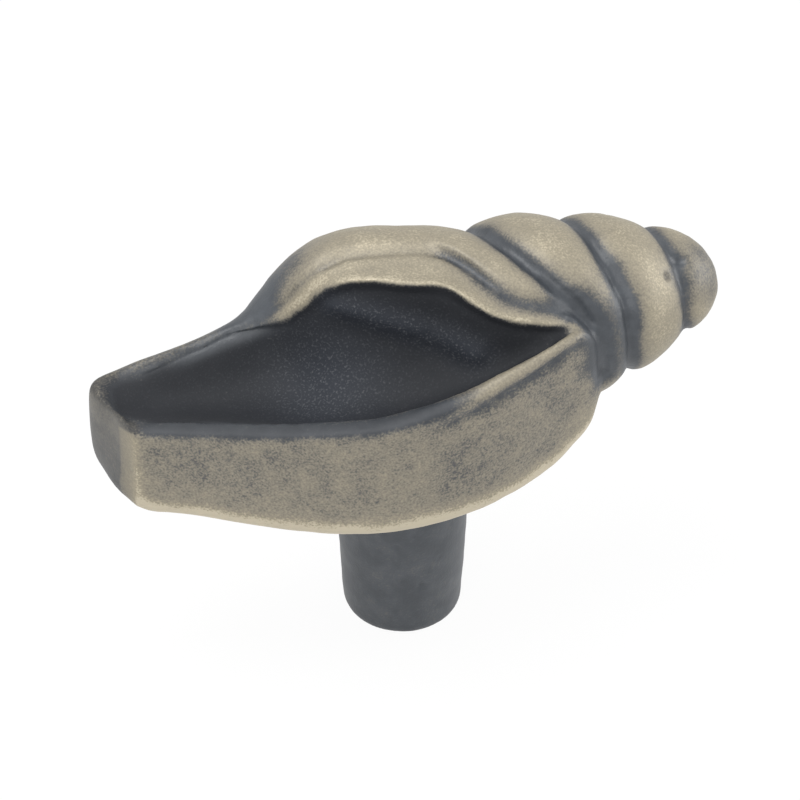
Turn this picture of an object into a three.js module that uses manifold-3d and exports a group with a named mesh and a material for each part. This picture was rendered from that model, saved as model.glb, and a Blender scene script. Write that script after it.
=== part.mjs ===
// Shell cabinet knob: a whelk shell and its stem, cast in brass as one piece.
// Millimetres. +Z points away from the cabinet, +X to the tip of the spire and -Y to the shell's outer lip.
// The origin is the centre of the stem's end face, which meets the door or drawer front.
import * as THREE from 'three';
import { LoftGeometry } from 'three/addons/geometries/LoftGeometry.js';
import { mergeVertices } from 'three/addons/utils/BufferGeometryUtils.js';
import Module from 'manifold-3d';

// The stem
const STEM_LENGTH = 19.6;          // from the cabinet to the underside of the shell
const STEM_FOOT_DIAMETER = 11.2;
const STEM_DRAFT = 2.5;            // degrees on each side, for the mould
const STEM_FOOT_RADIUS = 0.8;      // rounded edge round the end face
const STEM_SINK = 3;               // how far the stem's body runs on inside the shell

// The blind hole for a No. 8-32 machine screw, at its tapping size
const HOLE_DIAMETER = 3.45;
const HOLE_DEPTH = 14;
const HOLE_CHAMFER = 0.5;
const DRILL_POINT_ANGLE = 118;     // degrees
const CUTTER_OVERRUN = 1;          // how far the cutter starts outside the end face

// The shell's axis above its underside, and how far it lies behind the stem's axis
const AXIS_HEIGHT = 11.4;
const AXIS_SETBACK = 0.5;

// Body of the shell, measured along the axis from the stem
const CANAL_END = -27.9;
const LIP_END = 16.5;
const CANAL_END_RADIUS = 1.2;
const LIP_END_RADIUS = 1.5;
const WALL_FOOT_RADIUS = 1.5;      // bottom edge of the outer lip's wall
const GROOVE_DROP = 0.5;           // from the rim's outer edge down to the groove under it
const BAND_CROWN = 0.35;           // how far the inner lip's band bulges
const CREASE_WIDTH = 1.3;          // how far the whorl curves down to the groove behind the band
const HOLLOW_TURN = 20;            // degrees that the hollow leans back under the inner lip
const HOLLOW_LEAST_DEPTH = 0.05;
const CREASE_DRAW_SHARE = 1 / 3;   // of what a rounded end draws in, so the band narrows with it

// Rails of the body: each row is a place along the axis and a height or reach from the axis
const WALL_REACH = [
  [-27.9, 3.9], [-27.5, 3.1], [-27, 1.9], [-26.5, 0.4], [-26.15, -0.7], [-25.85, -1.35], [-25.3, -1.75],
  [-24.2, -2.15], [-20.5, -4.1], [-15, -7.7], [-9.4, -10.7], [-4.4, -12.3], [1.5, -12.4], [6.4, -11.5],
  [11, -10], [14.5, -8.9], [16.5, -8.4]];
const WALL_FOOT = [
  [-27.9, -9.9], [-27, -10.1], [-26.4, -10.3], [-25.8, -10.7], [-25.2, -11.1], [-24.4, -11.5],
  [-23.2, -11.6], [-12, -11.6], [-4, -11.4], [4, -11.3], [8, -11], [10.8, -10.6], [13.1, -9.9],
  [15, -8.9], [16.5, -8]];
const RIM_HEIGHT = [
  [-27.9, 0.2], [-27, 0], [-26.3, -0.4], [-25.95, -0.9], [-25.6, -1.3], [-25, -1.6], [-20.2, -1.1],
  [-14.9, 0], [-9.4, 1], [-4.4, 1.6], [1.6, 2.2], [6.4, 3], [10.9, 3.7], [13, 4.2], [14.2, 4.2],
  [15.2, 3.4], [16, 2.5], [16.5, 1.8]];
const RIM_CROWN = [
  [-27.9, 0.1], [-8, 0.12], [0, 0.3], [6, 0.5], [16.5, 0.5]];
const RIM_THICKNESS = [
  [-27.9, 0.2], [-27.5, 0.4], [-26.5, 0.9], [-25.5, 1.6], [-24, 2], [-14, 2.2], [0, 2.1], [6, 1.7],
  [9, 1.3], [12, 1], [14, 0.8], [16.5, 0.6]];
const WALL_GROOVE = [
  [-27.9, 0], [-2, 0], [4, 0.2], [8, 0.35], [12.5, 0.35], [14, 0.1], [16.5, 0]];
const HOLLOW_DEPTH = [
  [-27.9, 0.1], [-27.4, 0.3], [-26.6, 1.1], [-25, 2.2], [-20, 3.2], [-14, 4.5], [-8, 6], [-3, 7],
  [2, 6.5], [6, 4.8], [9, 3.2], [11.5, 1.9], [12.8, 1], [13.5, 0.2], [16.5, 0.1]];
const INNER_LIP_REACH = [
  [-27.9, 4.65], [-27.5, 4.5], [-26, 4.5], [-22.1, 4.4], [-17.2, 4.9], [-12.6, 4.6], [-9.6, 3.6],
  [-8, 2.6], [-6, 0.9], [-2.7, -0.9], [-0.1, -2.5], [3, -3.6], [4.9, -5.7], [6.1, -6.7], [7.6, -7.2],
  [9.9, -7.7], [12.1, -7.9], [14.5, -7.8], [15.8, -7.3], [16.5, -5.6]];
const INNER_LIP_HEIGHT = [
  [-27.9, 0.3], [-27.4, 0.2], [-26, -0.9], [-22.1, -0.5], [-17.2, 0.4], [-12.6, 1.5], [-9.6, 2.9],
  [-8, 4.9], [-7, 6.8], [-6, 8.2], [-4.2, 9], [-1.5, 9.3], [1.5, 9.2], [3.5, 8.9], [4.9, 8.1],
  [6.1, 7.3], [7.6, 6.6], [9.9, 5.9], [12.1, 5.2], [13.5, 4.6], [14.2, 4.3], [15.2, 3.4], [16, 2.5],
  [16.5, 1.8]];
const CREASE_REACH = [
  [-27.9, 5.45], [-27, 5.6], [-26, 5.6], [-20, 5.9], [-15, 6], [-12.3, 5.4], [-10.5, 4.6], [-8.4, 3.6],
  [-6.7, 3.4], [-4, 3.5], [0.4, 2.3], [2.8, 1.4], [4.4, 0.4], [5.2, -0.7], [5.9, -1.8], [6.7, -3.3],
  [7.4, -4.5], [8.4, -5.5], [9.9, -6.1], [12.1, -6.7], [13.7, -7.1], [15, -7.1], [15.8, -6.7], [16.5, -5]];
const CREASE_HEIGHT = [
  [-27.9, 0.1], [-27, -0.1], [-26, -0.3], [-20, 0.3], [-15, 1.2], [-12.3, 2.1], [-10.5, 3.2],
  [-9.5, 4.4], [-8.4, 6.4], [-6.7, 8.2], [-4, 9], [0.4, 9.3], [4.4, 9.3], [5.9, 9.1], [7.4, 8.3],
  [8.4, 7.7], [9.9, 7.2], [12.1, 6.5], [13.7, 5.4], [15, 4], [16, 2.8], [16.5, 1.9]];
const BACK_REACH = [
  [-27.9, 6.6], [-27, 7], [-26, 7.4], [-22, 7.6], [-18, 7.9], [-14.5, 8.5], [-12.5, 9.1], [-10.5, 10],
  [-8, 11.1], [-5.5, 11.8], [-3, 12.1], [0, 11.9], [3, 11.1], [6, 10.1], [8, 9.5], [11, 9.4],
  [16.5, 9.2]];
const CROWN_HEIGHT = [
  [-27.9, -0.3], [-27, -0.2], [-26, 0], [-22, 0.4], [-18, 1.1], [-14.5, 2.2], [-12.5, 3.3],
  [-10.5, 5.6], [-8, 8.1], [-5.5, 9.5], [-3, 9.9], [0, 9.9], [3, 9.7], [6, 9.5], [8, 9.3], [11, 9.4],
  [16.5, 9.2]];
const CREASE_DEPTH = [
  [-27.9, 0], [-14, 0], [-10.5, 0.15], [-7, 0.2], [-5.5, 0.5], [-3.5, 0.7], [0, 0.6], [8, 0.6], [13, 0.5],
  [16.5, 0.3]];
const DOME_CENTRE_REACH = [
  [-27.9, 4.7], [-27.5, 4.1], [-26, 2.2], [-18, 1.2], [-10.5, 0.5], [-3, 0], [16.5, 0]];
const DOME_CENTRE_HEIGHT = [
  [-27.9, -4.6], [-18, -5], [-12.5, -4], [-8, -2], [-3, -0.4], [3, 0], [16.5, 0]];
const DOME_SQUARENESS = [
  [-27.9, 3], [-26.5, 4], [-18, 4], [-12.5, 3], [-8, 2.45], [-3, 2.3], [3, 2.1], [8, 2], [16.5, 2]];

// Spire: its envelope, and the helix of its suture as a place along the axis for each turn.
// Turns are counted from the side away from the cabinet, over the outer lip's side.
const SPIRE_START = 4.5;
const SPIRE_ENVELOPE = [
  [4.5, 9.5], [8.2, 9.5], [11, 9.5], [13, 9.4], [15, 9], [17, 8.55], [19, 8.15], [21, 7.6], [23, 6.75],
  [25, 5.85], [27, 4.95], [28.4, 4.15], [29.4, 3.3], [30.1, 2.35], [30.5, 1.45], [30.7, 0.7]];
const SUTURE_HELIX = [
  [-0.7, 3.2], [-0.5, 5], [-0.3, 6.7], [-0.1, 8.6], [0.1, 10.2], [0.3, 11.8], [0.5, 13.5], [0.7, 15.4],
  [0.9, 17.2], [1.05, 18.1], [1.15, 19.2], [1.3, 19.7], [1.5, 20.9], [1.9, 24.8], [2.1, 25.4], [2.3, 25.9],
  [2.6, 27.7], [3, 29.8], [3.4, 32]];
// Edge of the body whorl, which flares up over the spire on the outer lip's side
const WHORL_EDGE = [
  [-0.7, 3.2], [-0.5, 5], [-0.3, 6.7], [-0.1, 8.6], [0, 9.8], [0.05, 11.1], [0.1, 12.9], [0.14, 14.6],
  [0.2, 15.9], [0.3, 16.6], [0.5, 17.3]];
const SUTURE_DEPTH = 1.05;         // at the body whorl, less on the small whorls
const SUTURE_WIDTH = 1.2;          // how far a whorl curves down on each side of it
const SUTURE_FULL_RADIUS = 8;      // from this radius of the spire on it has its full depth
const SPIRE_LEAST_RADIUS = 0.3;
const BURY_SLOPE = 1.1;            // how fast one surface dives under its neighbour past their seam
const SEAM_CUT_TURN = 0.32;        // under the outer lip, where the body whorl's edge starts and ends
const SEAM_OVERLAP = 0.9;          // how far the body runs on under the spire past its edge
const SEAM_SWEEP_START = -6;       // from here on the body's sections turn to follow that edge
const SEAM_SWEEP_FADE = 5;         // distance from the crease at which they follow it fully

// Fineness of the surface
const BODY_SPACING = 0.9;
const SPIRE_SPACING = 0.7;
const SPIRE_SIDES = 54;
const STEM_SIDES = 48;
const DOME_STEPS = 24;
const BAND_STEPS = 6;
const HOLLOW_STEPS = 14;
const WALL_STEPS = 7;
const UNDERSIDE_STEPS = 4;
const RIM_STEP = 45;               // degrees
const CORNER_STEP = 22.5;
const END_STEP = 15;
const STEM_FOOT_STEP = 18;
const MERGE_DISTANCE = 1e-4;
const DEGREE = Math.PI / 180;

const wasm = await Module();
wasm.setup();

// Smooth value of a rail at x, with a slope at each point from its two neighbours
function along(rail, x) {
  const last = rail.length - 1;
  let i = 0;
  while (i < last - 1 && x > rail[i + 1][0]) i += 1;
  const slope = (k) => {
    const before = rail[Math.max(k - 1, 0)];
    const after = rail[Math.min(k + 1, last)];
    return (after[1] - before[1]) / (after[0] - before[0]);
  };
  const [x0, v0] = rail[i];
  const [x1, v1] = rail[i + 1];
  const span = x1 - x0;
  const t = THREE.MathUtils.clamp((x - x0) / span, 0, 1);
  const rise = v1 - v0;
  const a = slope(i) * span - rise;
  const b = rise - slope(i + 1) * span;
  return v0 + rise * t + t * (1 - t) * (a * (1 - t) + b * t);
}

function steps(from, to, spacing) {
  const count = Math.max(1, Math.round((to - from) / spacing));
  return Array.from({ length: count + 1 }, (_, i) => from + (to - from) * i / count);
}

// Places along a rounded end, closer together where its outline turns inward
function roundedSteps(from, to, radius, spacing) {
  const quarter = steps(0, 90, END_STEP).map((angle) => radius * (1 - Math.cos(angle * DEGREE)));
  const inner = steps(from + radius, to - radius, spacing);
  const start = quarter.map((s) => from + s);
  const end = quarter.map((s) => to - s).reverse();
  return [...start.slice(0, -1), ...inner, ...end.slice(1)];
}

// How far an outline draws in at a distance from a rounded end
function inset(distance, radius) {
  const s = THREE.MathUtils.clamp(1 - distance / radius, 0, 1);
  return radius * (1 - Math.sqrt(1 - s * s));
}

function turnAt(y, z) {
  return Math.atan2(-y, z) / (2 * Math.PI);
}

// Turn counted on from the helix's start, so the seam lies where the outer lip hides it
function seamTurn(y, z) {
  const turn = turnAt(y, z);
  return turn > SEAM_CUT_TURN ? turn - 1 : turn;
}

// The body whorl's surface: level up to its edge, then down under the spire
function drawUnderSpire(x, y, z) {
  const past = x - along(WHORL_EDGE, seamTurn(y, z));
  const dip = past < 0
    ? SUTURE_DEPTH * Math.exp(past / SUTURE_WIDTH)
    : SUTURE_DEPTH + BURY_SLOPE * past;
  const radius = Math.hypot(y, z);
  const scale = Math.max(radius - dip, SPIRE_LEAST_RADIUS) / radius;
  return [y * scale, z * scale];
}

function superellipse(angle, halfWidth, halfHeight, squareness) {
  const power = 2 / squareness;
  const c = Math.cos(angle);
  const s = Math.sin(angle);
  return [
    halfWidth * Math.sign(c) * Math.abs(c) ** power,
    halfHeight * Math.sign(s) * Math.abs(s) ** power];
}

// Half outline of the back at one place along the axis: its middle and its reach each way
function domeShape(x, foot, draw) {
  const cy = along(DOME_CENTRE_REACH, x);
  const cz = along(DOME_CENTRE_HEIGHT, x);
  return {
    cy,
    cz,
    squareness: along(DOME_SQUARENESS, x),
    width: along(BACK_REACH, x) - draw - cy,
    top: along(CROWN_HEIGHT, x) - draw - cz,
    bottom: cz - foot,
  };
}

function domePoint(shape, angle) {
  const height = angle < 0 ? shape.bottom : shape.top;
  return superellipse(angle, shape.width, height, shape.squareness);
}

// Where a point of the section at x lies once the sections turn along the body whorl's edge
function sweptPlace(x, y, z, fromCrease) {
  const share = THREE.MathUtils.smoothstep(x, SEAM_SWEEP_START, LIP_END);
  const follow = 1 - Math.exp(-((fromCrease / SEAM_SWEEP_FADE) ** 2));
  const end = along(WHORL_EDGE, seamTurn(y, z)) + SEAM_OVERLAP;
  return x - share * follow * (LIP_END - end);
}

// Back and crown of the body, from under the shell round to the crease
function domePoints(x, crease, foot, draw) {
  const here = domeShape(x, foot, draw);
  const unpower = (v) => Math.sign(v) * Math.abs(v) ** (here.squareness / 2);
  const last = Math.atan2(
    unpower((crease[1] - here.cz) / here.top),
    unpower((crease[0] - here.cy) / here.width));
  const end = domePoint(here, last);
  const above = Math.hypot(...end) - Math.hypot(crease[0] - here.cy, crease[1] - here.cz);
  const groove = above + along(CREASE_DEPTH, x);
  const points = [];
  for (let i = 0; i <= DOME_STEPS; i += 1) {
    const angle = THREE.MathUtils.lerp(-Math.PI / 2, last, i / DOME_STEPS);
    const [nearY, nearZ] = domePoint(here, angle);
    const away = Math.hypot(nearY - end[0], nearZ - end[1]);
    const place = sweptPlace(x, here.cy + nearY, here.cz + nearZ, away);
    const shape = domeShape(place, along(WALL_FOOT, place), draw);
    const [dy, dz] = domePoint(shape, angle);
    const sink = 1 - groove * Math.exp(-away / CREASE_WIDTH) / Math.hypot(dy, dz);
    const [y, z] = drawUnderSpire(place, shape.cy + dy * sink, shape.cz + dz * sink);
    points.push(new THREE.Vector3(place, y, z));
  }
  return points;
}

// Inner lip: a rounded band from the crease to the edge of the hollow
function bandPoints(crease, edge) {
  const bulge = [crease[1] - edge[1], edge[0] - crease[0]];
  const length = Math.hypot(...bulge);
  const out = bulge.map((v) => v * BAND_CROWN / length);
  return steps(0, 1, 1 / BAND_STEPS).slice(1, -1).map((t) => {
    const lift = Math.sqrt(Math.sin(Math.PI * t));
    return [
      THREE.MathUtils.lerp(crease[0], edge[0], t) + out[0] * lift,
      THREE.MathUtils.lerp(crease[1], edge[1], t) + out[1] * lift];
  });
}

// The hollow's surface, from the inner lip down and up again to the outer lip's rim
function hollowPoints(x, edge, rim, draw) {
  const depth = Math.max(along(HOLLOW_DEPTH, x) - draw, HOLLOW_LEAST_DEPTH);
  const down = [depth * Math.sin(HOLLOW_TURN * DEGREE), -depth * Math.cos(HOLLOW_TURN * DEGREE)];
  return Array.from({ length: HOLLOW_STEPS + 1 }, (_, i) => {
    const angle = Math.PI * i / HOLLOW_STEPS;
    const across = (1 - Math.cos(angle)) / 2;
    const sink = Math.sin(angle);
    return [
      THREE.MathUtils.lerp(edge[0], rim[0], across) + down[0] * sink,
      THREE.MathUtils.lerp(edge[1], rim[1], across) + down[1] * sink];
  });
}

// Rim and outer face of the outer lip, down to the underside
function wallPoints(x, front, top, thickness, foot, footRadius) {
  const points = [];
  const half = thickness / 2;
  const crown = along(RIM_CROWN, x) * thickness;
  const groove = along(WALL_GROOVE, x);
  for (const angle of steps(0, 180, RIM_STEP).slice(1, -1)) {
    const a = angle * DEGREE;
    points.push([front + half + half * Math.cos(a), top + crown * Math.sin(a)]);
  }
  const cornerTop = foot + footRadius;
  points.push([front, top]);
  points.push([front + groove, top - GROOVE_DROP]);
  points.push([front + groove / 2, top - 2 * GROOVE_DROP]);
  for (const t of steps(0, 1, 1 / WALL_STEPS)) {
    points.push([front, THREE.MathUtils.lerp(top - 3 * GROOVE_DROP, cornerTop, t)]);
  }
  for (const angle of steps(180, 270, CORNER_STEP).slice(1)) {
    const a = angle * DEGREE;
    points.push([
      front + footRadius * (1 + Math.cos(a)),
      cornerTop + footRadius * Math.sin(a)]);
  }
  return points;
}

// One closed outline of the body across its axis, counter-clockwise from the underside
function bodySection(x) {
  const lipDraw = inset(LIP_END - x, LIP_END_RADIUS);
  const draw = inset(x - CANAL_END, CANAL_END_RADIUS) + lipDraw;
  const front = along(WALL_REACH, x) + lipDraw;
  const foot = along(WALL_FOOT, x) + draw;
  const footRadius = Math.min(WALL_FOOT_RADIUS, (along(BACK_REACH, x) - draw - front) / 2);
  const thickness = along(RIM_THICKNESS, x);
  const top = along(RIM_HEIGHT, x) - draw;
  const edge = [along(INNER_LIP_REACH, x), along(INNER_LIP_HEIGHT, x) - draw];
  const crease = [along(CREASE_REACH, x) - draw * CREASE_DRAW_SHARE, along(CREASE_HEIGHT, x) - draw];
  const dome = domePoints(x, crease, foot, draw);
  const lip = [
    ...bandPoints(crease, edge),
    ...hollowPoints(x, edge, [front + thickness, top], draw),
    ...wallPoints(x, front, top, thickness, foot, footRadius)].map(([y, z]) => new THREE.Vector3(x, y, z));
  const corner = lip[lip.length - 1];
  const under = steps(0, 1, 1 / UNDERSIDE_STEPS).slice(1, -1).map((t) => corner.clone().lerp(dome[0], t));
  return [...dome, ...lip, ...under];
}

// A loft whose two ends are closed by a fan of triangles round the middle of the end section
function closedLoft(sections) {
  const middle = (section) => {
    const sum = section.reduce((total, point) => total.add(point), new THREE.Vector3());
    sum.divideScalar(section.length);
    return section.map(() => sum);
  };
  const rows = [middle(sections[0]), ...sections, middle(sections[sections.length - 1])];
  return new LoftGeometry(rows, { closed: true });
}

function bodyGeometry() {
  const radius = Math.max(CANAL_END_RADIUS, LIP_END_RADIUS);
  return closedLoft(roundedSteps(CANAL_END, LIP_END, radius, BODY_SPACING).map(bodySection));
}

// Radius of the spire: convex whorls with a suture cut between them
function spireRadius(x, turn) {
  const envelope = along(SPIRE_ENVELOPE, x);
  const share = Math.min(1, envelope / SUTURE_FULL_RADIUS);
  const depth = SUTURE_DEPTH * share;
  const width = SUTURE_WIDTH * share;
  let cut = 0;
  for (const winding of [0, 1, 2, 3]) {
    const away = Math.abs(x - along(SUTURE_HELIX, turn + winding));
    cut = Math.max(cut, depth * Math.exp(-away / width));
  }
  const flare = x - along(WHORL_EDGE, turn);
  if (flare > 0) cut = Math.max(cut, depth * Math.exp(-flare / width));
  const under = flare < 0 ? depth - BURY_SLOPE * flare : 0;
  return Math.max(envelope - Math.max(cut, under), SPIRE_LEAST_RADIUS);
}

function spireGeometry() {
  const tip = SPIRE_ENVELOPE[SPIRE_ENVELOPE.length - 1][0];
  const places = steps(SPIRE_START, tip, SPIRE_SPACING);
  const sections = places.map((x) => Array.from({ length: SPIRE_SIDES }, (_, i) => {
    const angle = 2 * Math.PI * i / SPIRE_SIDES;
    const y = Math.cos(angle);
    const z = Math.sin(angle);
    const radius = spireRadius(x, seamTurn(y, z));
    return new THREE.Vector3(x, radius * y, radius * z);
  }));
  return closedLoft(sections);
}

// The stem turned about its axis
function stemGeometry() {
  const taper = Math.tan(STEM_DRAFT * DEGREE);
  const footRadius = STEM_FOOT_DIAMETER / 2;
  const profile = [new THREE.Vector2(0, 0)];
  for (const angle of steps(0, 90, STEM_FOOT_STEP)) {
    const a = angle * DEGREE;
    profile.push(new THREE.Vector2(
      footRadius - STEM_FOOT_RADIUS * (1 - Math.sin(a)),
      STEM_FOOT_RADIUS * (1 - Math.cos(a))));
  }
  const top = STEM_LENGTH + STEM_SINK;
  profile.push(new THREE.Vector2(footRadius + taper * top, top));
  profile.push(new THREE.Vector2(0, top));
  return new THREE.LatheGeometry(profile, STEM_SIDES).rotateX(Math.PI / 2);
}

// Cutter for the screw hole, from below the end face to the drill's point
function holeGeometry() {
  const radius = HOLE_DIAMETER / 2;
  const point = radius / Math.tan(DRILL_POINT_ANGLE / 2 * DEGREE);
  const profile = [
    [0, -CUTTER_OVERRUN], [radius + HOLE_CHAMFER + CUTTER_OVERRUN, -CUTTER_OVERRUN], [radius, HOLE_CHAMFER],
    [radius, HOLE_DEPTH], [0, HOLE_DEPTH + point]].map(([r, z]) => new THREE.Vector2(r, z));
  return new THREE.LatheGeometry(profile, STEM_SIDES / 2).rotateX(Math.PI / 2);
}

function toSolid(geometry) {
  const bare = new THREE.BufferGeometry();
  bare.setAttribute('position', geometry.attributes.position);
  bare.setIndex(geometry.index);
  const merged = mergeVertices(bare, MERGE_DISTANCE);
  const corners = merged.index.array;
  const kept = [];
  for (let i = 0; i < corners.length; i += 3) {
    const [a, b, c] = corners.slice(i, i + 3);
    if (a !== b && b !== c && c !== a) kept.push(a, b, c);
  }
  return new wasm.Manifold(new wasm.Mesh({
    numProp: 3,
    vertProperties: new Float32Array(merged.attributes.position.array),
    triVerts: new Uint32Array(kept),
  }));
}

function toGeometry(solid) {
  const mesh = solid.getMesh();
  const geometry = new THREE.BufferGeometry();
  geometry.setAttribute('position', new THREE.BufferAttribute(new Float32Array(mesh.vertProperties), 3));
  geometry.setIndex(new THREE.BufferAttribute(new Uint32Array(mesh.triVerts), 1));
  geometry.computeVertexNormals();
  return geometry;
}

function placeOnStem(geometry) {
  return geometry.translate(0, AXIS_SETBACK, STEM_LENGTH + AXIS_HEIGHT);
}

const castShell = toSolid(placeOnStem(bodyGeometry())).add(toSolid(placeOnStem(spireGeometry())));
const knob = castShell.add(toSolid(stemGeometry())).subtract(toSolid(holeGeometry()));

const antiqueBrass = new THREE.MeshStandardMaterial({ color: 0x8f8768, roughness: 0.5, metalness: 0.85 });
const shellKnob = new THREE.Mesh(toGeometry(knob), antiqueBrass);
shellKnob.name = 'shell_knob';

const object = new THREE.Group();
object.name = 'cabinet_knob';
object.add(shellKnob);
export default object;
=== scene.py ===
"""A shell cabinet knob, cast in brass as one piece, lit and seen as in its photograph."""
import math

import bpy
import numpy as np
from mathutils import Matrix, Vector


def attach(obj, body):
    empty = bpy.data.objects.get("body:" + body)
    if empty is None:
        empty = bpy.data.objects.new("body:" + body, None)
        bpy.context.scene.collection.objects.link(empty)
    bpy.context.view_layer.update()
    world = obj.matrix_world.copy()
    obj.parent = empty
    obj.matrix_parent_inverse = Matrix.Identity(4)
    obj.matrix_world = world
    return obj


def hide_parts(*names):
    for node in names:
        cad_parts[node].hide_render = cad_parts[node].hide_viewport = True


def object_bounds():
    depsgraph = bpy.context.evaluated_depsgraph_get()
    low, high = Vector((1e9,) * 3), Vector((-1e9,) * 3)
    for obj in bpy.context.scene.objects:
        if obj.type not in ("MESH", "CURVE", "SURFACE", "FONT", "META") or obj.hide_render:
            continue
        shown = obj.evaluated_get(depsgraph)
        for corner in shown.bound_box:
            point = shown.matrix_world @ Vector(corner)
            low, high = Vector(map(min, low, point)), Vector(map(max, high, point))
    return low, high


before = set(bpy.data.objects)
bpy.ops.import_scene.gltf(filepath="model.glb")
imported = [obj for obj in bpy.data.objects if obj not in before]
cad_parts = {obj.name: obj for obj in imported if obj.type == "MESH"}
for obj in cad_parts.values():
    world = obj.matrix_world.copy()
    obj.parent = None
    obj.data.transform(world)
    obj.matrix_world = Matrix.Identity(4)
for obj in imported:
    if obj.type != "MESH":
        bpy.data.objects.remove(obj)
cad_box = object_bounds()

# The casting
# A whelk shell on its stem, poured in brass as one piece and tumbled, so every edge is soft.
# The skin is drawn from the solid and smoothed, and the mould's fine marks are then put in.
# The mesh is worked out in millimetres.
MM = 0.001
SKIN_STEP = 0.28
SKIN_SMOOTHING = 3

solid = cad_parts["shell_knob"]
blank = bpy.data.objects.new("casting_blank", solid.data.copy())
bpy.context.scene.collection.objects.link(blank)
skin = blank.modifiers.new("skin", "REMESH")
skin.mode = "VOXEL"
skin.voxel_size = SKIN_STEP * MM
tumbled = blank.modifiers.new("tumbled", "SMOOTH")
tumbled.factor = 0.5
tumbled.iterations = SKIN_SMOOTHING
evaluated = blank.evaluated_get(bpy.context.evaluated_depsgraph_get())
casting_mesh = bpy.data.meshes.new_from_object(evaluated)
casting = bpy.data.objects.new("shell_casting", casting_mesh)
bpy.context.scene.collection.objects.link(casting)
bpy.data.objects.remove(blank)

count = len(casting_mesh.vertices)
flat = np.zeros(count * 3)
casting_mesh.vertices.foreach_get("co", flat)
points = flat.reshape(count, 3) / MM
pairs = np.zeros(len(casting_mesh.edges) * 2, dtype=np.int32)
casting_mesh.edges.foreach_get("vertices", pairs)
first, second = pairs.reshape(-1, 2).T
flat = np.zeros(count * 3)
casting_mesh.vertex_normals.foreach_get("vector", flat)
normals = flat.reshape(count, 3)


def settled(values, rounds):
    """Each point's value after so many rounds of halfway averaging with its neighbours."""
    degree = np.bincount(first, minlength=count) + np.bincount(second, minlength=count)
    columns = values.reshape(count, -1).copy()
    for _ in range(rounds):
        for i in range(columns.shape[1]):
            column = columns[:, i]
            total = (np.bincount(first, column[second], count)
                     + np.bincount(second, column[first], count))
            columns[:, i] = (column + total / degree) / 2
    return columns.reshape(values.shape)


def along(rail, x):
    """The value at x of a line through points of (x, value)."""
    places, values = zip(*rail)
    return np.interp(x, places, values)


def rising(values, start, end):
    """0 below start, 1 above end and a smooth change between them."""
    share = np.clip((values - start) / (end - start), 0, 1)
    return share * share * (3 - 2 * share)


def near(away, reach):
    """1 at a distance of 0, and next to nothing at twice the reach."""
    return np.exp(-(away / reach) ** 2)


def blended(values, others, share):
    """The values where the share is 0, and the others where it is 1."""
    return values * (1 - share) + others * share


# Where each point lies on the shell, from the middle of the stem along and round the shell's axis
AXIS_REACH = 0.5
AXIS_HEIGHT = 31.0
shell = points - [0, AXIS_REACH, AXIS_HEIGHT]
x, y, z = shell.T
LINE_STEP = 0.3


def away_from(line):
    """Each point's distance from a line on the shell."""
    line = np.asarray(line, dtype=float)
    run = np.concatenate([[0], np.cumsum(np.linalg.norm(np.diff(line, axis=0), axis=1))])
    stops = np.linspace(0, run[-1], int(run[-1] / LINE_STEP) + 2)
    places = np.stack([np.interp(stops, run, line[:, i]) for i in range(3)], axis=1)
    nearest = np.full(count, np.inf)
    for place in places:
        nearest = np.minimum(nearest, ((shell - place) ** 2).sum(axis=1))
    return np.sqrt(nearest)


def away_from_spot(spot):
    """Each point's distance from one place on the shell."""
    return np.linalg.norm(shell - spot, axis=1)


# The outer lip's wall and rim, the inner lip's edge and the crease behind its band: each is a rail
# of places along the axis, with a reach or a height from it
WALL_REACH = [
    (-27.9, 3.9), (-27, 1.9), (-26.5, 0.4), (-25.85, -1.35), (-24.2, -2.15), (-20.5, -4.1),
    (-15, -7.7), (-9.4, -10.7), (-4.4, -12.3), (1.5, -12.4), (6.4, -11.5), (11, -10), (14.5, -8.9),
    (16.5, -8.4)]
WALL_FOOT = [
    (-27.9, -9.9), (-26.4, -10.3), (-25.2, -11.1), (-23.2, -11.6), (-12, -11.6), (-4, -11.4),
    (4, -11.3), (8, -11), (10.8, -10.6), (13.1, -9.9), (15, -8.9), (16.5, -8)]
RIM_HEIGHT = [
    (-27.9, 0.2), (-27, 0), (-26.3, -0.4), (-25.6, -1.3), (-25, -1.6), (-20.2, -1.1), (-14.9, 0),
    (-9.4, 1), (-4.4, 1.6), (1.6, 2.2), (6.4, 3), (10.9, 3.7), (13, 4.2), (14.2, 4.2), (15.2, 3.4)]
RIM_WIDTH = [
    (-26.5, 0.9), (-25.5, 1.6), (-24, 2), (-14, 2.2), (0, 2.1), (6, 1.7), (9, 1.3), (12, 1),
    (14, 0.8)]
LIP_REACH = [
    (-27.9, 4.65), (-26, 4.5), (-22.1, 4.4), (-17.2, 4.9), (-12.6, 4.6), (-9.6, 3.6), (-8, 2.6),
    (-6, 0.9), (-2.7, -0.9), (-0.1, -2.5), (3, -3.6), (4.9, -5.7), (6.1, -6.7), (7.6, -7.2),
    (9.9, -7.7), (12.1, -7.9), (14.5, -7.8)]
LIP_HEIGHT = [
    (-27.9, 0.3), (-26, -0.9), (-22.1, -0.5), (-17.2, 0.4), (-12.6, 1.5), (-9.6, 2.9), (-8, 4.9),
    (-7, 6.8), (-6, 8.2), (-4.2, 9), (-1.5, 9.3), (1.5, 9.2), (3.5, 8.9), (4.9, 8.1), (6.1, 7.3),
    (7.6, 6.6), (9.9, 5.9), (12.1, 5.2), (13.5, 4.6), (14.5, 4.2)]
CREASE_REACH = [
    (-12.3, 5.4), (-10.5, 4.6), (-8.4, 3.6), (-6.7, 3.4), (-4, 3.5), (0.4, 2.3), (2.8, 1.4),
    (4.4, 0.4), (5.2, -0.7), (5.9, -1.8), (6.7, -3.3), (7.4, -4.5), (8.4, -5.5), (9.9, -6.1),
    (12.1, -6.7), (13.7, -7.1)]
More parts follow.
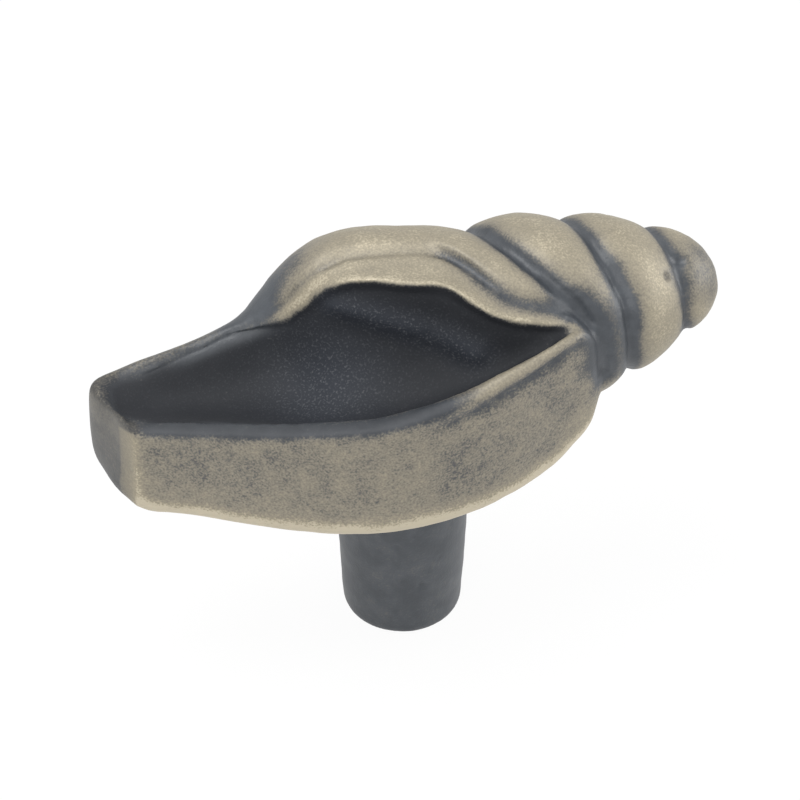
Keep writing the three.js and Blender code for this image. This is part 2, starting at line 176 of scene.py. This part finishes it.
CREASE_HEIGHT = [
    (-12.3, 2.1), (-10.5, 3.2), (-9.5, 4.4), (-8.4, 6.4), (-6.7, 8.2), (-4, 9), (0.4, 9.3),
    (4.4, 9.3), (5.9, 9.1), (7.4, 8.3), (8.4, 7.7), (9.9, 7.2), (12.1, 6.5), (13.7, 5.4)]
BEAD_RISE = 0.3
GROOVE_DROP = 0.9
CREASE_DROP = 0.5
rim_run = np.arange(-25.5, 14.3, 0.5)
rim_outer = away_from(np.stack([rim_run, along(WALL_REACH, rim_run), along(RIM_HEIGHT, rim_run)], 1))
bead_run = np.arange(-12, 13.6, 0.5)
bead_reach = along(WALL_REACH, bead_run) + along(RIM_WIDTH, bead_run) / 2
bead = away_from(np.stack([bead_run, bead_reach, along(RIM_HEIGHT, bead_run) + BEAD_RISE], 1))
groove_height = along(RIM_HEIGHT, bead_run) - GROOVE_DROP
groove = away_from(np.stack([bead_run, along(WALL_REACH, bead_run), groove_height], 1))
edge_run = np.arange(-10.5, 13.9, 0.4)
lip_edge = away_from(np.stack([edge_run, along(LIP_REACH, edge_run), along(LIP_HEIGHT, edge_run)], 1))
crease_run = np.arange(-12, 13.6, 0.4)
crease_height = along(CREASE_HEIGHT, crease_run) - CREASE_DROP * rising(crease_run, 2, 5)
crease = away_from(np.stack([crease_run, along(CREASE_REACH, crease_run), crease_height], 1))
LIP_HOOK = [
    (12.5, -8.9, 4.3), (13.6, -8.7, 4.3), (14.3, -8.2, 4.4), (14.0, -7.6, 5.0), (12.8, -7.4, 5.4)]
hook = away_from(LIP_HOOK)
MOUTH_FOLD = [(-5.5, 1.4, 5.6), (-3.7, 0.1, 5.2), (-0.6, -1.9, 4.2), (2.4, -3.8, 3.2), (5.1, -5.4, 2.1)]
fold = away_from(MOUTH_FOLD)

# The sutures wind round the spire: (turns from the top, place along the axis)
BODY_EDGE = [
    (-0.68, 3.4), (-0.5, 5), (-0.3, 6.7), (-0.1, 8.6), (0, 9.8), (0.05, 11.1), (0.1, 12.9),
    (0.14, 14.6), (0.2, 15.9), (0.3, 16.6)]
SPIRE_SUTURE = [
    (0.32, 12), (0.5, 13.5), (0.7, 15.4), (0.9, 17.2), (1.05, 18.1), (1.15, 19.2), (1.3, 19.7),
    (1.5, 20.9), (1.9, 24.8), (2.1, 25.4), (2.3, 25.9), (2.6, 27.7), (3, 29.8)]
SPIRE_RADIUS = [
    (4.5, 9.5), (11, 9.5), (13, 9.4), (15, 9), (17, 8.55), (19, 8.15), (21, 7.6), (23, 6.75),
    (25, 5.85), (27, 4.95), (28.4, 4.15), (29.4, 3.3), (30.1, 2.35), (30.7, 0.7)]
SUTURE_SINK = 0.7


def winding(edge):
    """The line on the spire that a suture follows."""
    turns = np.arange(edge[0][0], edge[-1][0], 0.01)
    place = along(edge, turns)
    radius = along(SPIRE_RADIUS, place) - SUTURE_SINK
    angle = 2 * math.pi * turns
    return np.stack([place, -radius * np.sin(angle), radius * np.cos(angle)], axis=1)


body_suture = away_from(winding(BODY_EDGE))
spire_suture = away_from(winding(SPIRE_SUTURE))

# The hollow of the shell's mouth: all that lies below the line from the rim to the inner lip and is
# joined to the place in the hollow that is named here, with a softer border towards the canal
MOUTH_START = -26.6
MOUTH_END = 13.9
IN_THE_MOUTH = (-4, -5, 1)
lip_y = along(LIP_REACH, x)
lip_z = along(LIP_HEIGHT, x)
across_y = along(WALL_REACH, x) + along(RIM_WIDTH, x) - lip_y
across_z = along(RIM_HEIGHT, x) - lip_z
across = np.hypot(across_y, across_z)
below = ((z - lip_z) * across_y - (y - lip_y) * across_z) / across
over = ((y - lip_y) * across_y + (z - lip_z) * across_z) / across ** 2
faces_lip = (normals[:, 1] * across_y + normals[:, 2] * across_z) / across > 0.15
inside = (below > 0.1) & (x > MOUTH_START) & (x < MOUTH_END) & ((over > 0.03) | faces_lip)
off_place = np.hypot(y - IN_THE_MOUTH[1], z - IN_THE_MOUTH[2])
mouth = np.zeros(count, dtype=bool)
mouth[np.argmin(np.where(inside & (np.abs(x - IN_THE_MOUTH[0]) < 1), off_place, np.inf))] = True
while True:
    reached = np.bincount(first, mouth[second], count) + np.bincount(second, mouth[first], count)
    grown = (mouth | (reached > 0)) & inside
    if grown.sum() == mouth.sum():
        break
    mouth = grown
mouth = mouth.astype(float)
soft_side = 1 - rising(x, -14, -8)
mouth = blended(rising(settled(mouth, 9), 0.25, 0.75), settled(mouth, 14), soft_side)

# The hollow is a shallow dish at the canal's end, deepest nearer the inner lip, and smooth all over
DISH_DEPTH = [
    (-27.5, 0.3), (-26, 0.8), (-24, 1.6), (-21, 2.5), (-18, 3.5), (-15, 4.6), (-12, 7), (-10, 9)]
DISH_LEAN = 0.7
HOLLOW_SMOOTHING = 220
dish = along(DISH_DEPTH, x) * np.sin(math.pi * np.clip(over, 0, 1) ** DISH_LEAN)
lift = np.maximum(below - dish, 0) * mouth * (1 - rising(x, -13, -10))
points[:, 1] += lift * across_z / across
points[:, 2] -= lift * across_y / across
deep = rising(settled(mouth, 24) + 0.35 * soft_side, 0.75, 1)
points = blended(points, settled(points, HOLLOW_SMOOTHING), deep[:, None])

# The canal's end and the wall's end by the spire are rounded more than the rest
END_ROUNDING = 70
canal_tip = (1 - rising(x, -25.0, -22.5)) * rising(y, -0.5, 2)
wall_tip = rising(x, 11, 14) * (1 - rising(x, 16.2, 17)) * (y < -7.2)
tips = settled(np.maximum(canal_tip, wall_tip), 6)
points = blended(points, settled(points, END_ROUNDING), tips[:, None])


def drawn(marks):
    """The sum of soft marks: each point's distance, the strength, the reach and where it shows."""
    total = np.zeros(count)
    for away, strength, reach, shown in marks:
        total += strength * near(away, reach) * shown
    return total


def lumps(size, seed):
    """Smooth random values from -1 to 1 over the casting, with lumps of that size."""
    table = np.random.default_rng(seed).uniform(-1, 1, (32, 32, 32))
    cell = np.floor(points / size).astype(int)
    part = points / size - cell
    part = part * part * (3 - 2 * part)
    value = np.zeros(count)
    for corner in range(8):
        step = np.array([corner & 1, corner >> 1 & 1, corner >> 2 & 1])
        weight = np.prod(np.where(step, part, 1 - part), axis=1)
        value += weight * table[tuple(((cell + step) % 32).T)]
    return value


# Marks of the mould, sunk where the strength is below 0: the sutures, the crease, the rim's bead with
# the groove under it, the fold in the mouth, the lip's hook and a bulge at the canal's end
END_BULGE = (-26.9, 1.2, -8.8)
on_bead = rising(x, -4, 3) * (1 - mouth)
left_of_crown = rising(x, -11.5, -9) * (1 - rising(x, -4, 0))
raised = drawn([
    (body_suture, -0.3, 0.6, 1),
    (spire_suture, -0.25, 0.5, 1),
    (crease, -0.25, 0.6, rising(x, 2, 5)),
    (bead, 0.16, 0.5, on_bead),
    (groove, -0.2, 0.4, on_bead),
    (fold, 0.5, 1.3, 1),
    (hook, 0.12, 0.5, 1 - mouth),
    (crease, -0.35, 0.42, left_of_crown),
    (away_from_spot(END_BULGE), 0.45, 1.8, 1)])

# Soft unevenness, small pits all over, and three larger ones with film in them
PIT_COUNT = 70
PIT_DEPTH = (0.03, 0.1)
PIT_REACH = (0.22, 0.4)
LARGE_PITS = [(26.1, -2.4, 4.4, 0.55, 0.5), (24.1, -4.1, 4.4, 0.4, 0.35), (-0.1, -6.3, -24.5, 0.4, 0.35)]
LARGE_PIT_EDGE = 1.2
raised += 0.05 * lumps(3.1, 1) + 0.03 * lumps(1.2, 2)
random = np.random.default_rng(7)
for centre in random.choice(count, PIT_COUNT, replace=False):
    away = np.linalg.norm(points - points[centre], axis=1)
    depth = random.uniform(*PIT_DEPTH)
    raised -= depth * near(away, random.uniform(*PIT_REACH))
pitted = np.zeros(count)
for *centre, reach, depth in LARGE_PITS:
    away = away_from_spot(centre)
    raised -= depth * near(away, reach)
    pitted = np.maximum(pitted, near(away, LARGE_PIT_EDGE * reach))

# The stem's end face stays flat, thin edges are rounded again and all stays inside the solid's box
FOOT_CLEARANCE = 0.5
EDGE_ROUNDING = 7
clear_of_foot = np.clip(points[:, 2] / FOOT_CLEARANCE, 0, 1)
points = points + normals * (raised * clear_of_foot)[:, None]
at_end = (1 - rising(x, -24.5, -21)) * np.maximum(rising(y, 0, 2), rising(z, -3.5, -2.2))
thin_edge = np.maximum(near(lip_edge, 1.0), at_end)
points = blended(points, settled(points, EDGE_ROUNDING), thin_edge[:, None])
low, high = np.asarray(cad_box, dtype=float) / MM
points = np.clip(points, low, high)
casting_mesh.vertices.foreach_set("co", (points * MM).ravel())
casting_mesh.update()
casting_mesh.shade_smooth()

# Wear, from 0 where the dark film is whole to 1 where the brass is bare. The film is rubbed back on
# the high places and the edges, and stays in the low places. These values also carry painted light:
# a painted highlight along the wall's foot, and painted shadow on the crown behind the crease.
OPEN_WEAR = 0.82
FORM_ROUNDS = 60
EDGE_ROUNDS = 8
form_rise = np.einsum("ij,ij->i", points - settled(points, FORM_ROUNDS), normals)
edge_rise = np.einsum("ij,ij->i", points - settled(points, EDGE_ROUNDS), normals)
wear_and_painted_light = OPEN_WEAR + 0.35 * np.clip(form_rise, -0.8, 0.4) + 0.9 * np.clip(edge_rise, -0.3, 0.15)

# the outer lip's wall: duller, and rubbed bright along its foot and at its corner by the canal's end;
# the bright line along the foot is also a painted highlight, for the white floor's light reflected there
WALL_WEAR = 0.42
WALL_ENDS = (-25.9, 16.2)
wall_y = along(WALL_REACH, x)
wall = rising(-normals[:, 1], 0.45, 0.75) * (y < wall_y + 1.6) * (x < WALL_ENDS[1]) * (x > WALL_ENDS[0])
wall = wall * (z < along(RIM_HEIGHT, x) + 0.2) * (1 - mouth)
over_foot = z - along(WALL_FOOT, x)
# along the foot: wear, and a painted highlight for the floor's reflected light
wall_wear_and_foot_highlight = WALL_WEAR + 0.8 * (1 - rising(x, -25.7, -24.9)) + drawn([
    (over_foot - 0.9, 1.2, 1.3, 1),
    (over_foot - 2.3, -0.3, 0.5, 1 - rising(x, -16, -9))])
wear_and_painted_light = blended(wear_and_painted_light, wall_wear_and_foot_highlight, wall)

# the rim and the inner lip: dark film on the canal's side of both
rim = near(rim_outer, 2.2) * rising(normals[:, 2], 0.2, 0.6) * (1 - mouth)
rim = rim * (y > wall_y - 0.3) * (y < wall_y + 2.6) * (1 - rising(x, -3, 5))
rim_film = np.minimum(1.6 * rim, 1)
wear_and_painted_light = wear_and_painted_light * (1 - rim_film) - 0.35 * rim
canal_side = (1 - rising(x, -12.5, -8.5)) * rising(y, wall_y + 1.5, wall_y + 2.5)
wear_and_painted_light -= 0.75 * canal_side * rising(normals[:, 2], -0.4, 0.6)

# lines rubbed bright, and, below 0, lines that hold the film
wear_and_painted_light += drawn([
    (bead, 0.15, 0.6, on_bead * rising(x, 0, 6)),
    (groove, -0.6, 0.5, on_bead),
    (lip_edge, 0.4, 0.5, (1 - mouth) * rising(x, -10.5, -8)),
    (crease, -0.95, 0.9, rising(x, 2.5, 5.5)),
    (crease, -0.35, 0.45, 1 - rising(x, 0, 4)),
    (hook, 0.3, 0.5, 1 - mouth),
    (body_suture, -1.25, 1.15, 1),
    (spire_suture, -1.15, 1.1, 1)])


def dabbed(spots):
    """The sum of soft round spots: each one's place on the shell, its reach and its strength."""
    total = np.zeros(count)
    for *centre, reach, strength in spots:
        total += strength * near(away_from_spot(centre), reach)
    return total


# patches that the rubbing missed, more of them behind the crease, where they are also painted shadow
# cast by the band's raised edge onto the crown, and patches rubbed harder
MISSED = [
    (15.6, -6.3, 5.6, 2.2, 0.7), (16.8, -7.4, 3.5, 1.8, 0.55), (17.0, -7.9, 0.5, 2.4, 0.6),
    (17.8, -7.8, -3.0, 2.6, 0.5), (14.4, -8.8, 4.0, 1.6, 0.12), (12.6, -9.4, -1.0, 3.2, 0.12),
    (-21.1, -3.8, -3.9, 2.4, 0.2), (-17.0, -6.5, -5.0, 2.4, 0.1), (3.0, -12.4, -4.5, 3.5, 0.15),
    (18.8, -3.7, 6.4, 1.4, 0.4), (19.5, -5.8, 4.3, 1.6, 0.5), (19.5, -6.6, 2.6, 1.5, 0.4)]
# film behind the crease, which is also painted shadow under the band's raised edge
FILM_AND_PAINTED_SHADOW_BEHIND_CREASE = [
    (-8.8, 7.3, 5.6, 3.0, 0.5), (-7.1, 6.7, 7.4, 2.8, 0.4), (-10.8, 6.5, 3.4, 3.2, 0.6),
    (-12.8, 5.7, 1.9, 2.6, 0.5)]
RUBBED = [
    (15.2, -8.6, -2.0, 1.6, 0.3), (15.0, -8.8, -5.5, 1.8, 0.3), (26.6, -4.9, 0.1, 1.3, 0.4),
    (-8.8, 3.6, 4.4, 1.3, 0.35), (-7.2, 2.8, 6.8, 1.3, 0.3), (-26.9, 4.1, -1.2, 1.0, 0.4)]
behind = rising(y - along(CREASE_REACH, x), 0, 0.7)
wear_and_painted_light += dabbed(RUBBED) - dabbed(MISSED) - dabbed(FILM_AND_PAINTED_SHADOW_BEHIND_CREASE) * behind

# a thin even film on the spire's tip and on the canal's end, and a darker one on top of that end
THIN_FILM_WEAR = 0.14
DARK_FILM_WEAR = 0.05
SPIRE_TIP = (29.0, -2.4, 2.6)
SPIRE_TIP_REACH = 3.4
spire_tip = 0.9 * np.exp(-(away_from_spot(SPIRE_TIP) / SPIRE_TIP_REACH) ** 4)
wear_and_painted_light = blended(wear_and_painted_light, THIN_FILM_WEAR, spire_tip) - 0.6 * pitted
canal_end = (1 - rising(x, -26.0, -25.2)) * rising(-normals[:, 0], 0.3, 0.7) * (1 - mouth)
wear_and_painted_light = blended(wear_and_painted_light, THIN_FILM_WEAR + 0.02 * (z + 4), canal_end)
end_top = (1 - rising(x, -25.2, -24.2)) * rising(z, -2.8, -1.2) * rising(normals[:, 2], -0.1, 0.4)
wear_and_painted_light = blended(wear_and_painted_light, DARK_FILM_WEAR, end_top)

# the whole film in the mouth and on the stem, and half the wear on faces that point down
STEM_TOP = 19.2
STEM_REACH = 7.5
stem = (1 - rising(points[:, 2], STEM_TOP, STEM_TOP + 0.8)) * (np.hypot(*points[:, :2].T) < STEM_REACH)
under = rising(-normals[:, 2], 0.96, 0.99)
wear_and_painted_light = wear_and_painted_light * (1 - 0.5 * under) * (1 - mouth) * (1 - stem) - 0.35 * mouth - 0.2 * stem
wear_and_painted_light = settled(wear_and_painted_light, 7)

# thin lines over all of that: the crease's dark bottom, the inner lip's and the wall corner's bright
# edges, and the bead, which is duller than the lips
WALL_CORNER = (-25.85, -1.35, -1.6)
at_corner = (np.abs(y - WALL_CORNER[1]) < 1.5) * (z < WALL_CORNER[2]) * (1 - mouth)
wear_and_painted_light += drawn([
    (crease, -0.4, 0.4, (1 - rising(x, 2, 6)) * (1 - mouth)),
    (lip_edge, 0.35, 0.4, (1 - mouth) * rising(x, -9, -3)),
    (x - WALL_CORNER[0], 0.4, 0.6, at_corner),
    (bead, -0.5, 0.9, on_bead)])

# how strongly the marks break up the film, where it is blackest, and where dust lies in the mouth.
# The dust's share is also painted light: the mouth's film is painted lighter at the fold and the
# hollow's middle, and darker away from them, as painted shade under the inner lip
HOLLOW_MIDDLE = (-7.5, -1.5, -1.5)
speckle = 0.4 + 0.2 * wall - 0.25 * canal_end
darkest = mouth * (1 - soft_side * rising(x, -21, -17) * (1 - rising(below, 0.4, 2.2)))
darkest = np.maximum(darkest, np.maximum(0.5 * rim_film, 0.8 * end_top))
dust_and_painted_light = 0.15 + 0.85 * np.maximum(near(fold, 1.8), near(away_from_spot(HOLLOW_MIDDLE), 5.5))
marks_of_wear_and_light = {"wear_and_painted_light": wear_and_painted_light, "darkest": darkest, "dust_and_painted_light": dust_and_painted_light, "speckle": speckle}
for name, values in marks_of_wear_and_light.items():
    layer = casting_mesh.attributes.new(name, "FLOAT", "POINT")
    layer.data.foreach_set("value", values.astype(np.float32))


def linear(code):
    """A colour's linear red, green, blue and alpha from its sRGB hex code."""
    parts = [int(code[i:i + 2], 16) / 255 for i in (1, 3, 5)]
    return [p / 12.92 if p <= 0.04045 else ((p + 0.055) / 1.055) ** 2.4 for p in parts] + [1]


def add_node(tree, kind, inputs=None, **settings):
    """A new node with its settings, and each input's value or the socket linked to it."""
    made = tree.nodes.new(kind)
    for name, value in settings.items():
        setattr(made, name, value)
    for name, value in (inputs or {}).items():
        if isinstance(value, bpy.types.NodeSocket):
            tree.links.new(value, made.inputs[name])
        else:
            made.inputs[name].default_value = value
    return made.outputs


# Oxidised brass: chemically darkened all over, then relieved by hand on the high places.
# The dark film is satin and bluish, and the relieved brass a duller khaki with dark specks. It is
# only half metallic, because a thin film is left on it everywhere.
FILM = ("#33373C", "#3F4348")
# the mouth's film, from painted shade under the inner lip to painted light at the fold and middle
MOUTH_FILM_PAINTED_SHADE_TO_LIGHT = ("#0A0D13", "#181D26")
DUST = "#4B4D51"
THIN_FILM = "#66625A"
BRASS = ("#938B78", "#9D9582")
# the paler brass of the most rubbed places, also a painted highlight along the wall's foot
POLISHED_BRASS_AND_PAINTED_HIGHLIGHT = "#B8AF9B"
FILM_ROUGHNESS = 0.46
BRASS_ROUGHNESS = 0.6
MOUTH_ROUGHNESS = 0.75
BRASS_METALLIC = 0.5
# the sand's grain, the rubbing's scratches, drawn coarser than they are so that they show, and the
# cloudiness of the darkening bath
GRAIN = 0.2 * MM
SCRATCH_LENGTH = 0.9 * MM
SCRATCH_WIDTH = 0.4 * MM
CLOUD = 2.2 * MM
SCRATCH_SHARE = 0.35
CLOUD_SHARE = 0.8
MARK_CONTRAST = 1.7
MARK_MIDDLE = 1.83
GRIT_HEIGHT = 0.05 * MM

oxidised_brass = bpy.data.materials.new("oxidised_brass")
oxidised_brass.use_nodes = True
tree = oxidised_brass.node_tree
tree.nodes.clear()
place = add_node(tree, "ShaderNodeTexCoord")["Object"]
worn_and_painted_light = add_node(tree, "ShaderNodeAttribute", attribute_name="wear_and_painted_light")["Fac"]
in_dark = add_node(tree, "ShaderNodeAttribute", attribute_name="darkest")["Fac"]
in_dust_and_painted_light = add_node(tree, "ShaderNodeAttribute", attribute_name="dust_and_painted_light")["Fac"]
speckled = add_node(tree, "ShaderNodeAttribute", attribute_name="speckle")["Fac"]

# the marks: grain, scratches and clouds together, about 0 in the middle
grain = add_node(
    tree, "ShaderNodeTexNoise",
    {"Vector": place, "Scale": 1 / GRAIN, "Detail": 1, "Roughness": 0.5})["Fac"]
clouds = add_node(
    tree, "ShaderNodeTexNoise",
    {"Vector": place, "Scale": 1 / CLOUD, "Detail": 4, "Roughness": 0.6})["Fac"]
stretched = add_node(
    tree, "ShaderNodeMapping",
    {"Vector": place, "Scale": (1 / SCRATCH_LENGTH, 1 / SCRATCH_WIDTH, 1 / SCRATCH_WIDTH)})[0]
scratches = add_node(
    tree, "ShaderNodeTexNoise", {"Vector": stretched, "Scale": 1, "Detail": 3, "Roughness": 0.6})["Fac"]
marks = add_node(
    tree, "ShaderNodeMath", {0: scratches, 1: SCRATCH_SHARE, 2: grain}, operation="MULTIPLY_ADD")[0]
marks = add_node(
    tree, "ShaderNodeMath", {0: clouds, 1: CLOUD_SHARE, 2: marks}, operation="MULTIPLY_ADD")[0]
marks = add_node(
    tree, "ShaderNodeMath", {0: marks, 1: MARK_CONTRAST, 2: -MARK_MIDDLE}, operation="MULTIPLY_ADD")[0]

# how bare the brass is: the wear with the painted light and shade it carries, broken up by the marks
level = add_node(
    tree, "ShaderNodeMath", {0: marks, 1: speckled, 2: worn_and_painted_light}, operation="MULTIPLY_ADD")[0]
bare_and_painted_light = add_node(tree, "ShaderNodeMapRange", {"Value": level, "From Min": -0.2, "From Max": 1.05})[0]

# the dark film: cloudy outside, and blacker with pale dust in the mouth, where it also holds painted
# light and shade: lighter at the fold and the hollow's middle, darker under the inner lip
cloudy = add_node(
    tree, "ShaderNodeMapRange", {"Value": clouds, "From Min": 0.35, "From Max": 0.7},
    interpolation_type="SMOOTHSTEP")[0]
film = add_node(
    tree, "ShaderNodeMix", {0: cloudy, 6: linear(FILM[0]), 7: linear(FILM[1])}, data_type="RGBA")[2]
mouth_film_with_painted_light = add_node(
    tree, "ShaderNodeMix", {0: in_dust_and_painted_light, 6: linear(MOUTH_FILM_PAINTED_SHADE_TO_LIGHT[0]), 7: linear(MOUTH_FILM_PAINTED_SHADE_TO_LIGHT[1])},
    data_type="RGBA")[2]
dust = add_node(
    tree, "ShaderNodeMapRange", {"Value": grain, "From Min": 0.5, "From Max": 0.85},
    interpolation_type="SMOOTHSTEP")[0]
dust = add_node(tree, "ShaderNodeMath", {0: dust, 1: in_dust_and_painted_light}, operation="MULTIPLY")[0]
mouth_film_with_painted_light = add_node(
    tree, "ShaderNodeMix", {0: dust, 6: mouth_film_with_painted_light, 7: linear(DUST)}, data_type="RGBA")[2]
film = add_node(tree, "ShaderNodeMix", {0: in_dark, 6: film, 7: mouth_film_with_painted_light}, data_type="RGBA")[2]

# the brass: grained, and paler where it is rubbed most; along the wall's foot the paler brass is also
# a painted highlight
grained = add_node(
    tree, "ShaderNodeMapRange", {"Value": grain, "From Min": 0.3, "From Max": 0.7},
    interpolation_type="SMOOTHSTEP")[0]
brass = add_node(
    tree, "ShaderNodeMix", {0: grained, 6: linear(BRASS[0]), 7: linear(BRASS[1])}, data_type="RGBA")[2]
polish_and_painted_highlight = add_node(
    tree, "ShaderNodeMapRange", {"Value": level, "From Min": 0.85, "From Max": 1.35},
    interpolation_type="SMOOTHSTEP")[0]
brass = add_node(
    tree, "ShaderNodeMix", {0: polish_and_painted_highlight, 6: brass, 7: linear(POLISHED_BRASS_AND_PAINTED_HIGHLIGHT)}, data_type="RGBA")[2]

# from the film, by way of a thin brown one, to the brass
thin = add_node(tree, "ShaderNodeMapRange", {"Value": bare_and_painted_light, "From Min": 0.05, "From Max": 0.5})[0]
thin = add_node(tree, "ShaderNodeMix", {0: thin, 6: film, 7: linear(THIN_FILM)}, data_type="RGBA")[2]
relieved = add_node(tree, "ShaderNodeMapRange", {"Value": bare_and_painted_light, "From Min": 0.25, "From Max": 1})[0]
colour = add_node(tree, "ShaderNodeMix", {0: relieved, 6: thin, 7: brass}, data_type="RGBA")[2]
metal = add_node(tree, "ShaderNodeMapRange", {"Value": bare_and_painted_light, "To Min": 0.0, "To Max": BRASS_METALLIC})[0]
dull = add_node(
    tree, "ShaderNodeMapRange", {"Value": bare_and_painted_light, "To Min": FILM_ROUGHNESS, "To Max": BRASS_ROUGHNESS})[0]
dull = add_node(tree, "ShaderNodeMix", {0: in_dark, 2: dull, 3: MOUTH_ROUGHNESS}, data_type="FLOAT")[0]
grit = add_node(
    tree, "ShaderNodeBump", {"Height": marks, "Strength": 0.25, "Distance": GRIT_HEIGHT})[0]
shader = add_node(
    tree, "ShaderNodeBsdfPrincipled",
    {"Base Color": colour, "Metallic": metal, "Roughness": dull, "Normal": grit})[0]
add_node(tree, "ShaderNodeOutputMaterial", {"Surface": shader})
casting_mesh.materials.clear()
casting_mesh.materials.append(oxidised_brass)
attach(casting, "root")
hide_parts("shell_knob")

# The white sweep
# A sheet of white paper under the knob, that runs out of sight.
# The camera sees it near white, and it keeps the knob's soft shadow.
SWEEP_REACH = 3.0
SWEEP_GLOW = 0.95
PAPER = "#F4F4F4"
WHITE = "#FFFFFF"
sweep_mesh = bpy.data.meshes.new("white_sweep")
corners = [(i * SWEEP_REACH, j * SWEEP_REACH, 0) for i, j in ((-1, -1), (1, -1), (1, 1), (-1, 1))]
sweep_mesh.from_pydata(corners, [], [(0, 1, 2, 3)])
sweep = bpy.data.objects.new("white_sweep", sweep_mesh)
bpy.context.scene.collection.objects.link(sweep)


def seen_directly(tree):
    """1 for what the camera sees, also by reflection or through glass, and 0 for light on the knob."""
    ray = add_node(tree, "ShaderNodeLightPath")
    seen = ray["Is Camera Ray"]
    for other in ("Is Glossy Ray", "Is Transmission Ray"):
        seen = add_node(tree, "ShaderNodeMath", {0: seen, 1: ray[other]}, operation="MAXIMUM")[0]
    return seen


sweep_paper = bpy.data.materials.new("white_sweep_paper")
sweep_paper.use_nodes = True
tree = sweep_paper.node_tree
tree.nodes.clear()
glow = add_node(
    tree, "ShaderNodeMath", {0: seen_directly(tree), 1: SWEEP_GLOW}, operation="MULTIPLY")[0]
paper = add_node(tree, "ShaderNodeBsdfDiffuse", {"Color": linear(PAPER)})[0]
white = add_node(tree, "ShaderNodeEmission", {"Color": linear(WHITE), "Strength": 1.0})[0]
sheet = add_node(tree, "ShaderNodeMixShader", {0: glow, 1: paper, 2: white})[0]
add_node(tree, "ShaderNodeOutputMaterial", {"Surface": sheet})
sweep_mesh.materials.append(sweep_paper)

# The studio's light
# A white room, with a large soft box above the knob, one in front of it on the left and one on its
# right. The room is seen at full white, and lights the knob with a part of that.
ROOM_LIGHT = 0.6
LIGHT_AIM = (0, 0, 0.028)
room = bpy.data.worlds.new("studio_room")
bpy.context.scene.world = room
room.use_nodes = True
tree = room.node_tree
tree.nodes.clear()
strength = add_node(
    tree, "ShaderNodeMath", {0: seen_directly(tree), 1: 1 - ROOM_LIGHT, 2: ROOM_LIGHT},
    operation="MULTIPLY_ADD")[0]
walls = add_node(tree, "ShaderNodeBackground", {"Color": linear(WHITE), "Strength": strength})[0]
add_node(tree, "ShaderNodeOutputWorld", {"Surface": walls})


def soft_box(name, position, size, power):
    """A square area lamp that faces the knob."""
    lamp = bpy.data.lights.new(name, "AREA")
    lamp.size = size
    lamp.energy = power
    box = bpy.data.objects.new(name, lamp)
    box.location = position
    aim = [t - p for t, p in zip(LIGHT_AIM, position)]
    flat_reach = math.hypot(aim[0], aim[1])
    box.rotation_euler = (math.atan2(flat_reach, -aim[2]), 0, math.atan2(-aim[0], aim[1]))
    bpy.context.scene.collection.objects.link(box)


soft_box("top_soft_box", (-0.15, 0.05, 0.6), 0.4, 3.0)
soft_box("front_soft_box", (-0.35, -0.5, 0.35), 0.35, 1.8)
soft_box("right_soft_box", (0.5, -0.05, 0.1), 0.3, 1.6)

# The camera
# A long lens that looks down on the knob from its front left, as in the photograph.
# The knob's middle lies two pixels off the middle of the frame.
AZIMUTH = math.radians(-20)
ELEVATION = math.radians(42)
CAMERA_DISTANCE = 0.32
AIM_HEIGHT = 0.0246
LENS = 158.4
SENSOR_WIDTH = 36
FRAME_WIDTH_PIXELS = 800
FRAME_OFFSET = 2 / FRAME_WIDTH_PIXELS
camera_data = bpy.data.cameras.new("camera")
camera_data.lens = LENS
camera_data.sensor_width = SENSOR_WIDTH
camera_data.clip_start = 0.01
camera_data.shift_x = -FRAME_OFFSET
camera_data.shift_y = FRAME_OFFSET
camera = bpy.data.objects.new("camera", camera_data)
camera.location = (
    CAMERA_DISTANCE * math.sin(AZIMUTH) * math.cos(ELEVATION),
    -CAMERA_DISTANCE * math.cos(AZIMUTH) * math.cos(ELEVATION),
    AIM_HEIGHT + CAMERA_DISTANCE * math.sin(ELEVATION))
camera.rotation_euler = (math.pi / 2 - ELEVATION, 0, AZIMUTH)
bpy.context.scene.collection.objects.link(camera)
bpy.context.scene.camera = camera
bpy.context.scene.view_settings.view_transform = "Standard"
